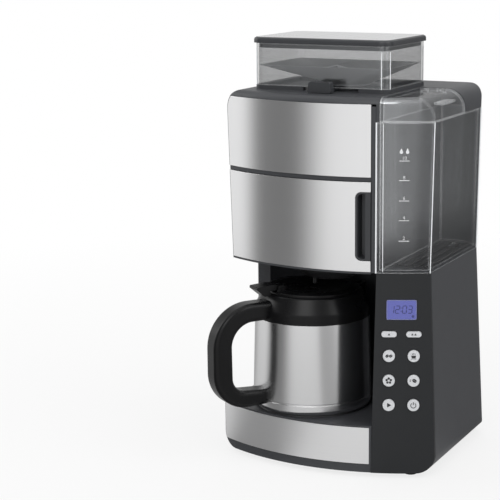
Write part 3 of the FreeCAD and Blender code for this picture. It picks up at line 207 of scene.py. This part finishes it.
ALONG_X = (4, 4, 5200)
ROUND_Z = (6, 6, 5200)
finishes = {
    "housing": moulded("anthracite_plastic", (0.043, 0.045, 0.050), 0.46, 0.00002, gloss=0.4),
    "panel": moulded("panel_plastic", (0.017, 0.0182, 0.020), 0.5, 0.00002, gloss=0.3),
    # The carafe rest is darker than the housing: painted shade for the shadow gap round the
    # carafe's foot.
    "rest": moulded("shaded_rest_plastic", (0.022, 0.022, 0.024), 0.5, 0.00006, scale=700.0),
    "steel_face": brushed("brushed_steel_face", (0.77, 0.77, 0.775), 0.22, ALONG_X, 0.000006),
    "carafe_steel": brushed("brushed_carafe_steel", (0.72, 0.72, 0.725), 0.23, ROUND_Z, 0.000004),
    "liner_steel": brushed("drawn_liner_steel", (0.66, 0.65, 0.64), 0.24, ROUND_Z, 0.00001),
    "black_plastic": moulded("black_half_gloss", (0.005, 0.005, 0.0055), 0.28, 0.00001, gloss=0.2),
    "dark_trim": moulded("dark_satin", (0.034, 0.036, 0.040), 0.38, 0.00001, gloss=0.4),
    "lid_metal": brushed("satin_lid_silver", (0.76, 0.765, 0.77), 0.28, (3600, 8, 8), 0.000006),
    "hopper_clear": clear("clear_hopper", (0.32, 0.33, 0.34), 0.27, 0.68, 0.3),
    "tank_clear": clear("clear_tank", (0.9, 0.92, 0.94), 0.09, 0.85, veil_thins_below=0.236),
    "lid_clear": clear("clear_tank_lid", (0.85, 0.87, 0.89), 0.12, 0.8),
    "funnel_plastic": moulded("pale_funnel", (0.82, 0.83, 0.85), 0.35, 0.00002),
    "rubber": moulded("black_rubber", (0.012, 0.012, 0.012), 0.75, 0.00008, gloss=0.3, scale=900.0),
    "button": moulded("silver_button", (0.62, 0.63, 0.65), 0.3, 0.00001, coat=0.3),
    "display": moulded("lit_display", (0.06, 0.07, 0.28), 0.2, 0.000005, coat=0.4),
    "lcd": moulded("display_module", (0.12, 0.13, 0.17), 0.4, 0.00001),
    "board": moulded("circuit_board", (0.02, 0.12, 0.05), 0.45, 0.00004, scale=500.0),
    "fastener_steel": brushed("turned_steel", (0.6, 0.59, 0.58), 0.3, (60, 60, 1800), 0.00001),
    "burr_steel": brushed("hardened_steel", (0.42, 0.42, 0.42), 0.32, (300, 300, 900), 0.00003),
    "gear_plastic": moulded("natural_nylon", (0.72, 0.7, 0.64), 0.45, 0.00002),
    "motor_can": brushed("plated_can", (0.5, 0.5, 0.52), 0.36, (20, 20, 1200), 0.00001),
    "heater_metal": brushed("cast_heater", (0.5, 0.5, 0.5), 0.42, (500, 500, 500), 0.00006),
    "inner_plastic": moulded("inner_plastic", (0.014, 0.014, 0.015), 0.4, 0.00002),
    "mesh": brushed("filter_mesh", (0.55, 0.45, 0.25), 0.35, (1600, 1600, 1600), 0.0001),
}
finishes["display"].set(Emission_Color=(0.13, 0.14, 0.42), Emission_Strength=0.3)
print_white = moulded("white_print", (0.8, 0.81, 0.82), 0.5, 0.000005)
print_dark = moulded("dark_print", (0.012, 0.012, 0.014), 0.5, 0.000005)
segment_ink = moulded("display_segments", (0.03, 0.035, 0.13), 0.4, 0.000005)
window_frame = moulded("display_frame", (0.24, 0.25, 0.4), 0.35, 0.000005)
trim_steel = brushed("satin_base_trim", (0.86, 0.86, 0.865), 0.36, ALONG_X, 0.000006)
# Near-white finish for strips along the clear mouldings' edges: painted glints for the light lines
# their corners catch.
edge_glint_finish = moulded("painted_edge_glint", (0.84, 0.86, 0.88), 0.14, 0.000005, coat=0.4)
slot_of = {row["node"]: row["material_slot"] for row in frame["record"]["subparts"]}
for name, node in nodes.items():
    node.data.materials.clear()
    finish = trim_steel if name == "base_trim" else finishes[slot_of[name]]
    node.data.materials.append(finish.owner)


# Camera, lights, floor and surroundings

CAMERA_AT = (0.61725, -1.42347, 0.53018)
CAMERA_TURN = math.radians(23.83)
CAMERA_DOWN = math.radians(11.44)
SENSOR_WIDTH = 36
FOCAL_LENGTH = 110.9
SHIFT_X, SHIFT_Y = -0.1754, -0.0067
LAMP_AIM = Vector((0, 0, 0.2))
# name, place, width and height in metres, and power in watts
LAMPS = [
    ("key", (0.2, -1.7, 1.6), 1.0, 1.0, 9),
    ("left", (-1.8, -0.3, 1.0), 0.8, 1.2, 6),
    ("top", (0.2, 0.2, 1.8), 2.8, 2.8, 13),
    ("side", (1.5, -0.3, 1.4), 0.8, 1.0, 5),
]
# bearing from the front in degrees, and brightness
PANELS = [
    (-180, 0.6), (-165, 0.76), (-140, 0.76), (-120, 0.5), (-94, 0.95), (-74, 1.0),
    (-59, 0.2), (-38, 0.2), (-12, 0.97), (4, 1.0), (30, 1.0), (38, 0.5), (60, 0.55),
    (74, 1.0), (94, 1.0), (125, 0.32), (165, 0.32), (180, 0.6),
]
FLOOR_RADIUS = 3.0
# how far from the middle, in metres, the mirrored floor brightens and the shadow fades out
MIRROR_FADE = {"From Min": 0.25, "From Max": 1.3, "To Min": 0.68}
SHADOW_FADE = {"From Min": 0.2, "From Max": 1.2, "To Min": 0.8}


def make_camera():
    lens = bpy.data.cameras.new("camera")
    lens.sensor_width = SENSOR_WIDTH
    lens.lens = FOCAL_LENGTH
    lens.shift_x = SHIFT_X
    lens.shift_y = SHIFT_Y
    camera = bpy.data.objects.new("camera", lens)
    scene.collection.objects.link(camera)
    level = math.cos(CAMERA_DOWN)
    look = Vector((
        -math.sin(CAMERA_TURN) * level, math.cos(CAMERA_TURN) * level, -math.sin(CAMERA_DOWN)
    ))
    camera.location = CAMERA_AT
    camera.rotation_mode = "QUATERNION"
    camera.rotation_quaternion = look.to_track_quat("-Z", "Y")
    scene.camera = camera


def soft_box(name, at, wide, high, watts):
    lamp = bpy.data.lights.new(name, "AREA")
    lamp.shape = "RECTANGLE"
    lamp.size = wide
    lamp.size_y = high
    lamp.energy = watts
    holder = bpy.data.objects.new(name, lamp)
    scene.collection.objects.link(holder)
    holder.location = at
    holder.rotation_mode = "QUATERNION"
    holder.rotation_quaternion = (LAMP_AIM - Vector(at)).to_track_quat("-Z", "Y")


def studio_band(finish, way):
    """Pale panels with darker gaps between them, by the direction from the object."""
    parts = finish.node("SeparateXYZ", {}, {"Vector": way}).socket.node
    east = Wire(finish, parts.outputs["X"])
    north = Wire(finish, parts.outputs["Y"])
    turn = finish.maths("ARCTAN2", east, 0 - north)
    stops = [((at + 180) / 360, level) for at, level in PANELS]
    return finish.node("ValToRGB", {"stops": stops}, {"Fac": turn * (0.5 / math.pi) + 0.5})


def ray_kind(finish, kind):
    return finish.node("LightPath", out=f"Is {kind} Ray")


def make_surroundings():
    """A pale studio: bright panels with darker gaps round the object, white behind it."""
    world = bpy.data.worlds.new("studio")
    scene.world = world
    sky = Finish("studio", world)
    band = studio_band(sky, sky.node("TexCoord", out="Generated"))
    seen = ray_kind(sky, "Camera") + ray_kind(sky, "Transmission")
    colour = sky.node("Mix", {"data_type": "RGBA"}, {0: seen, 6: band, 7: (1, 1, 1, 1)}, out=2)
    sky.feed(sky.tree.nodes["Background"].inputs["Color"], colour)


def make_floor():
    """A pale disc: white to the camera, the studio's panels to gloss; it keeps the shadow."""
    mesh = bpy.data.meshes.new("floor")
    form = bmesh.new()
    bmesh.ops.create_circle(form, cap_ends=True, segments=96, radius=FLOOR_RADIUS)
    form.to_mesh(mesh)
    form.free()
    floor = bpy.data.objects.new("floor", mesh)
    scene.collection.objects.link(floor)
    grey = (0.7, 0.7, 0.7)
    pale = Finish("pale_floor", Base_Color=grey, Roughness=0.6, Specular_IOR_Level=0.2)
    away = pale.node("VectorMath", {"operation": "LENGTH"}, {0: pale.place}, out="Value")
    near = pale.node("MapRange", {}, {"Value": away, **MIRROR_FADE})
    band = studio_band(pale, pale.place)
    mix = {"data_type": "RGBA"}
    dimmed = pale.node("Mix", mix, {0: near, 6: (0, 0, 0, 1), 7: band}, out=2)
    gloss = ray_kind(pale, "Glossy")
    colour = pale.node("Mix", mix, {0: gloss, 6: (1, 1, 1, 1), 7: dimmed}, out=2)
    glow = pale.node("Emission", {}, {"Color": colour, "Strength": 1.0})
    seen = ray_kind(pale, "Camera") + ray_kind(pale, "Transmission") + gloss
    fade = pale.node("MapRange", {}, {"Value": away, **SHADOW_FADE})
    matt = Wire(pale, pale.shader.outputs[0])
    mixed = pale.node("MixShader", {}, {0: seen * fade, 1: matt, 2: glow})
    pale.feed(pale.tree.nodes["Material Output"].inputs["Surface"], mixed)
    mesh.materials.append(pale.owner)


make_camera()
for lamp_values in LAMPS:
    soft_box(*lamp_values)
make_surroundings()
make_floor()


# Printed, lit and moulded details

TURN = math.radians(22.8)
LEAN = math.radians(3.4)
ACROSS = Vector((math.cos(TURN), math.sin(TURN), 0))
INWARD = Vector((
    -math.sin(TURN) * math.cos(LEAN), math.cos(TURN) * math.cos(LEAN), -math.sin(LEAN)
))
UPWARD = ACROSS.cross(INWARD)
BOW_X, BOW_Y, BOW_R = -5 * MM, 150 * MM, 222 * MM


class PanelSpot:
    """The outer face of a key or window: places on it, in millimetres from its middle."""

    def __init__(self, node):
        points = [v.co for v in nodes[node].data.vertices]
        spans = []
        for way in (ACROSS, UPWARD):
            along = [p.dot(way) for p in points]
            spans.append((min(along) + max(along)) / 2)
        out = max(-p.dot(INWARD) for p in points)
        self.middle = ACROSS * spans[0] + UPWARD * spans[1] - INWARD * out

    def __call__(self, u, v, lift):
        return self.middle + (ACROSS * u + UPWARD * v - INWARD * lift) * MM


def tank_front(u, v, lift):
    """A place on the bowed front of the tank, by arc length, height and lift."""
    reach = BOW_R + lift * MM
    turn = u * MM / BOW_R
    return Vector((BOW_X + reach * math.sin(turn), BOW_Y - reach * math.cos(turn), v * MM))


def stamp(form, outline, spot, thick=0.12, sunk=0.1):
    """A thin raised shape on a surface, from an outline drawn anticlockwise."""
    top = [form.verts.new(spot(u, v, thick)) for u, v in outline]
    low = [form.verts.new(spot(u, v, -sunk)) for u, v in outline]
    form.faces.new(top)
    form.faces.new(low[::-1])
    count = len(outline)
    for i in range(count):
        j = (i + 1) % count
        form.faces.new((low[i], low[j], top[j], top[i]))


def oval(u, v, long, high, start=0.0, end=360.0, steps=20):
    points = []
    for i in range(steps + 1):
        a = math.radians(start + (end - start) * i / steps)
        points.append((u + long * math.cos(a), v + high * math.sin(a)))
    if end - start >= 360:
        points.pop()
    return points


def turned_about(points, u, v, degrees):
    a = math.radians(degrees)
    made = []
    for x, y in points:
        dx, dy = x - u, y - v
        across = u + dx * math.cos(a) - dy * math.sin(a)
        made.append((across, v + dx * math.sin(a) + dy * math.cos(a)))
    return made


def bean(u, v, long, high, tilt):
    """A coffee bean as two halves beside its crease."""
    upper = oval(u, v + 0.14, long, high, 0, 180, 12)
    lower = oval(u, v - 0.14, long, high, 180, 360, 12)
    return [turned_about(half, u, v, tilt) for half in (upper, lower)]


def bar(u, v, long, high):
    return [(u - long / 2, v - high / 2), (u + long / 2, v - high / 2),
            (u + long / 2, v + high / 2), (u - long / 2, v + high / 2)]


def arc_band(u, v, inner, outer, start, end):
    return oval(u, v, outer, outer, start, end) + oval(u, v, inner, inner, start, end)[::-1]


def link_form(name, form):
    mesh = bpy.data.meshes.new(name)
    form.to_mesh(mesh)
    form.free()
    piece = bpy.data.objects.new(name, mesh)
    scene.collection.objects.link(piece)
    return piece


def put_on(piece, body):
    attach(piece, body)


def add_piece(name, form, finish, body):
    piece = link_form(name, form)
    piece.data.materials.append(finish.owner)
    put_on(piece, body)


def key_marks():
    """The dark signs on the keys, each riding on its own key."""
    arrow = [(-1.2, -0.9), (1.2, -0.9), (0, 1.1)]
    twin = [[(u - 1.5, v) for u, v in arrow], [(u + 1.5, v) for u, v in arrow]]
    cup = [
        [(-2.5, 0.4), (-1.7, -2.0), (1.7, -2.0), (2.5, 0.4)],
        bar(0, -2.75, 5.4, 0.5),
        bar(-1.3, 1.8, 0.5, 1.7), bar(0, 2.1, 0.5, 1.9), bar(1.3, 1.8, 0.5, 1.7),
    ]
    ring = []
    for i in range(5):
        a = math.radians(90 + 72 * i)
        ring.append(oval(2.2 * math.cos(a), 2.2 * math.sin(a), 1.15, 1.15))
    lines = [bar(-3.0, 0.9, 1.6, 0.45), bar(-3.2, -0.4, 1.6, 0.45)]
    return {
        "hour_button": [arrow],
        "minute_button": twin,
        "beans_button": bean(-1.75, 0, 1.75, 1.25, 35) + bean(1.75, 0, 1.75, 1.25, 35),
        "cups_button": cup,
        "strength_button": ring,
        "grind_button": bean(0.9, 0, 2.3, 1.6, -40) + lines,
        "start_button": [[(-1.5, -2.3), (2.5, 0), (-1.5, 2.3)]],
        "power_button": [arc_band(0, -0.2, 2.2, 2.9, 125, 415), bar(0, 1.7, 0.8, 2.8)],
    }


for key, shapes in key_marks().items():
    marks = bmesh.new()
    spot = PanelSpot(key)
    for shape in shapes:
        stamp(marks, shape, spot)
    add_piece(key + "_mark", marks, print_dark, key)

SEGMENTS = {
    "top": (0, 1, "flat"), "middle": (0, 0, "flat"), "bottom": (0, -1, "flat"),
    "upper_left": (-1, 0.5, "tall"), "upper_right": (1, 0.5, "tall"),
    "lower_left": (-1, -0.5, "tall"), "lower_right": (1, -0.5, "tall"),
}
DIGITS = {
    0: ("top", "bottom", "upper_left", "upper_right", "lower_left", "lower_right"),
    1: ("upper_right", "lower_right"),
    2: ("top", "middle", "bottom", "upper_right", "lower_left"),
    3: ("top", "middle", "bottom", "upper_right", "lower_right"),
}


def segment_outline(u, v, kind):
    wide, half_high, half = 1.9, 3.6, 0.36
    u, v = u * wide, v * half_high
    reach = (wide if kind == "flat" else half_high / 2) - 0.15
    tip = reach - half
    shape = [(-reach, 0), (-tip, -half), (tip, -half), (reach, 0), (tip, half), (-tip, half)]
    if kind == "tall":
        shape = [(-y, x) for x, y in shape]
    return [(u + x + (v + y) * 0.1, v + y) for x, y in shape]


clock = bmesh.new()
window = PanelSpot("display_window")
for digit, at in ((1, -9.4), (2, -3.9), (0, 2.9), (3, 8.4)):
    for segment in DIGITS[digit]:
        outline = [(u + at, v + 0.4) for u, v in segment_outline(*SEGMENTS[segment])]
        stamp(clock, outline, window, 0.05, 0.05)
for level in (-1.2, 2.0):
    stamp(clock, bar(-0.5, level, 0.8, 0.8), window, 0.05, 0.05)
for half in bean(11.2, -6.4, 1.3, 1.0, 40):
    stamp(clock, half, window, 0.05, 0.05)
add_piece("display_segments", clock, segment_ink, "machine")

frame_bars = bmesh.new()
for side in (1, -1):
    stamp(frame_bars, bar(0, 9.5 * side, 29, 0.5), window, 0.06, 0.05)
for side in (1, -1):
    stamp(frame_bars, bar(14.3 * side, 0, 0.5, 18.4), window, 0.06, 0.05)
add_piece("display_frame", frame_bars, window_frame, "machine")


def numeral(form, text, high, spot, u, v):
    """A raised numeral, set on a surface with its foot's middle at a place."""
    curve = bpy.data.curves.new("numeral", "FONT")
    curve.body = text
    curve.size = high * 1.4
    curve.align_x = "CENTER"
    curve.extrude = 0.1
    curve.resolution_u = 3
    holder = bpy.data.objects.new("numeral", curve)
    scene.collection.objects.link(holder)
    bpy.context.view_layer.update()
    view = bpy.context.evaluated_depsgraph_get()
    mesh = bpy.data.meshes.new_from_object(holder.evaluated_get(view))
    bpy.data.objects.remove(holder)
    for vertex in mesh.vertices:
        vertex.co = spot(u + vertex.co.x, v + vertex.co.y, vertex.co.z)
    form.from_mesh(mesh)
    bpy.data.meshes.remove(mesh)


def tank_scale():
    form = bmesh.new()
    middle = 90.0
    for text, level in (("10", 317.0), ("8", 298.0), ("6", 278.0), ("4", 258.6), ("2", 238.4)):
        stamp(form, bar(middle, level, 10, 0.7), tank_front)
        numeral(form, text, 3.4, tank_front, middle, level + 1.2)
    for side in (-3, 3):
        drop = oval(middle + side, 325.6, 1.7, 1.7, -225, 45, 14) + [(middle + side, 329.4)]
        stamp(form, drop, tank_front)
    add_piece("tank_scale", form, print_white, "machine")


tank_scale()


def edge_point(node, level, way):
    """The point of a node near a height, in millimetres, that lies farthest along a way."""
    near = [v.co for v in nodes[node].data.vertices if abs(v.co.z - level * MM) < 1.2 * MM]
    return max(near, key=lambda p: p.x * way[0] + p.y * way[1]).copy()


def glint_strip(form, start, end, half):
    """A thin bright strip of square section between two points, a painted glint along an edge."""
    along = (end - start).normalized()
    side = along.cross(Vector((0.4, -0.9, 0.1))).normalized() * half * MM
    lift = along.cross(side).normalized() * half * MM
    ring = [side + lift, lift - side, -side - lift, side - lift]
    low = [form.verts.new(start + step) for step in ring]
    high = [form.verts.new(end + step) for step in ring]
    form.faces.new(low)
    form.faces.new(high[::-1])
    for i in range(4):
        j = (i + 1) % 4
        form.faces.new((low[i], high[i], high[j], low[j]))
    bmesh.ops.recalc_face_normals(form, faces=list(form.faces))


def paint_edge_glints():
    """Painted glints: thin bright strips along the edges of the clear tank and hopper."""
    tank = bmesh.new()
    for way, half in (((0.24, -0.97), 0.7), ((0.8, -0.6), 0.5), ((0.97, 0.24), 0.6)):
        glint_strip(tank, edge_point("water_tank", 206, way), edge_point("water_tank", 354, way), half)
    # A painted glint line down the tank's bowed front.
    stamp(tank, bar(69.6, 280, 0.8, 145), tank_front, 0.1)
    add_piece("tank_edge_glints", tank, edge_glint_finish, "machine")
    hopper = bmesh.new()
    rise = Vector((0, 0, 36.4 * MM))
    for way in ((0.97, -0.24), (0.24, -0.97), (-0.7, -0.7), (0.7, 0.7)):
        foot = edge_point("bean_hopper", 382, way)
        glint_strip(hopper, foot, foot + rise, 0.45)
    add_piece("hopper_edge_glints", hopper, edge_glint_finish, "machine")


paint_edge_glints()


# Rows and rings of repeated pieces

def new_tree(name, inputs):
    tree = bpy.data.node_groups.new(name, "GeometryNodeTree")
    for label, kind in inputs:
        tree.interface.new_socket(label, in_out="INPUT", socket_type="NodeSocket" + kind)
    tree.interface.new_socket("Pieces", in_out="OUTPUT", socket_type="NodeSocketGeometry")
    return tree, tree.nodes.new("NodeGroupInput"), tree.nodes.new("NodeGroupOutput")


def copy_nodes(tree, given, result, line):
    """Copies of the shape on the points of a line, made one mesh with one finish."""
    copies = tree.nodes.new("GeometryNodeInstanceOnPoints")
    joined = tree.nodes.new("GeometryNodeRealizeInstances")
    dressed = tree.nodes.new("GeometryNodeSetMaterial")
    tree.links.new(given.outputs["Count"], line.inputs["Count"])
    tree.links.new(line.outputs["Mesh"], copies.inputs["Points"])
    tree.links.new(given.outputs["Shape"], copies.inputs["Instance"])
    tree.links.new(copies.outputs["Instances"], joined.inputs["Geometry"])
    tree.links.new(joined.outputs["Geometry"], dressed.inputs["Geometry"])
    tree.links.new(given.outputs["Finish"], dressed.inputs["Material"])
    tree.links.new(dressed.outputs["Geometry"], result.inputs["Pieces"])
    return copies


def row_tree():
    inputs = [("Shape", "Geometry"), ("Count", "Int"), ("Step", "Vector"), ("Finish", "Material")]
    tree, given, result = new_tree("row_of_pieces", inputs)
    line = tree.nodes.new("GeometryNodeMeshLine")
    copy_nodes(tree, given, result, line)
    tree.links.new(given.outputs["Step"], line.inputs["Offset"])
    return tree


def ring_tree():
    inputs = [("Shape", "Geometry"), ("Count", "Int"), ("Middle", "Vector"), ("Finish", "Material")]
    tree, given, result = new_tree("ring_of_pieces", inputs)
    line = tree.nodes.new("GeometryNodeMeshLine")
    line.inputs["Offset"].default_value = (0, 0, 0)
    copies = copy_nodes(tree, given, result, line)
    tree.links.new(given.outputs["Middle"], line.inputs["Start Location"])
    number = tree.nodes.new("GeometryNodeInputIndex")
    share = tree.nodes.new("ShaderNodeMath")
    share.operation = "DIVIDE"
    turn = tree.nodes.new("ShaderNodeMath")
    turn.operation = "MULTIPLY"
    turn.inputs[1].default_value = 2 * math.pi
    about = tree.nodes.new("ShaderNodeCombineXYZ")
    tree.links.new(number.outputs[0], share.inputs[0])
    tree.links.new(given.outputs["Count"], share.inputs[1])
    tree.links.new(share.outputs[0], turn.inputs[0])
    tree.links.new(turn.outputs[0], about.inputs["Z"])
    tree.links.new(about.outputs[0], copies.inputs["Rotation"])
    return tree


ROW = row_tree()
RING = ring_tree()


def repeated(name, form, tree, values, finish, body):
    """A piece made of copies of one shape, as a plain mesh on its body."""
    piece = link_form(name, form)
    modifier = piece.modifiers.new("copies", "NODES")
    modifier.node_group = tree
    items = [item for item in tree.interface.items_tree if item.in_out == "INPUT"]
    socket = {item.name: item.identifier for item in items}
    for label, value in values.items():
        modifier[socket[label]] = value
    modifier[socket["Finish"]] = finish.owner
    bpy.context.view_layer.update()
    view = bpy.context.evaluated_depsgraph_get()
    made = bpy.data.meshes.new_from_object(piece.evaluated_get(view))
    piece.modifiers.clear()
    piece.data = made
    put_on(piece, body)


def slat(spans, soft=0.0):
    """A bar between two limits on each axis, in millimetres, with softened edges."""
    form = bmesh.new()
    bmesh.ops.create_cube(form, size=1.0)
    for vertex in form.verts:
        for axis, (low, high) in enumerate(spans):
            vertex.co[axis] = (low if vertex.co[axis] < 0 else high) * MM
    if soft:
        bmesh.ops.bevel(form, geom=list(form.edges), offset=soft * MM, segments=2, affect="EDGES")
    return form


repeated(
    "tank_floor_ribs", slat(((64, 69), (-30, 98), (208.5, 209.9)), 0.5), ROW,
    {"Count": 4, "Step": (0.0098, 0, 0)}, finishes["inner_plastic"], "machine",
)
repeated(
    "rear_louvres", slat(((-62, 18), (120.6, 121.9), (66, 68.6)), 0.5), ROW,
    {"Count": 9, "Step": (0, 0, 0.0056)}, finishes["housing"], "machine",
)
repeated(
    "tank_lid_ribs", slat(((90, 101), (6, 6.7), (365.6, 368.4)), 0.2), ROW,
    {"Count": 5, "Step": (0, 0.0078, 0)}, finishes["lid_clear"], "tank_lid",
)
add_piece(
    "fascia_corner", slat(((52.9, 56.4), (-63.2, -57), (366.8, 369.2)), 0.3), finishes["housing"],
    "machine",
)
nozzle = bmesh.new()
bmesh.ops.create_cone(
    nozzle, cap_ends=True, segments=14, radius1=0.8 * MM, radius2=1.3 * MM, depth=1.4 * MM
)
bmesh.ops.translate(nozzle, verts=list(nozzle.verts), vec=(14 * MM, 0, -0.5 * MM))
repeated(
    "shower_nozzles", nozzle, RING,
    {"Count": 12, "Middle": (-0.011, 0.0, 0.284)}, finishes["inner_plastic"],
    "machine",
)
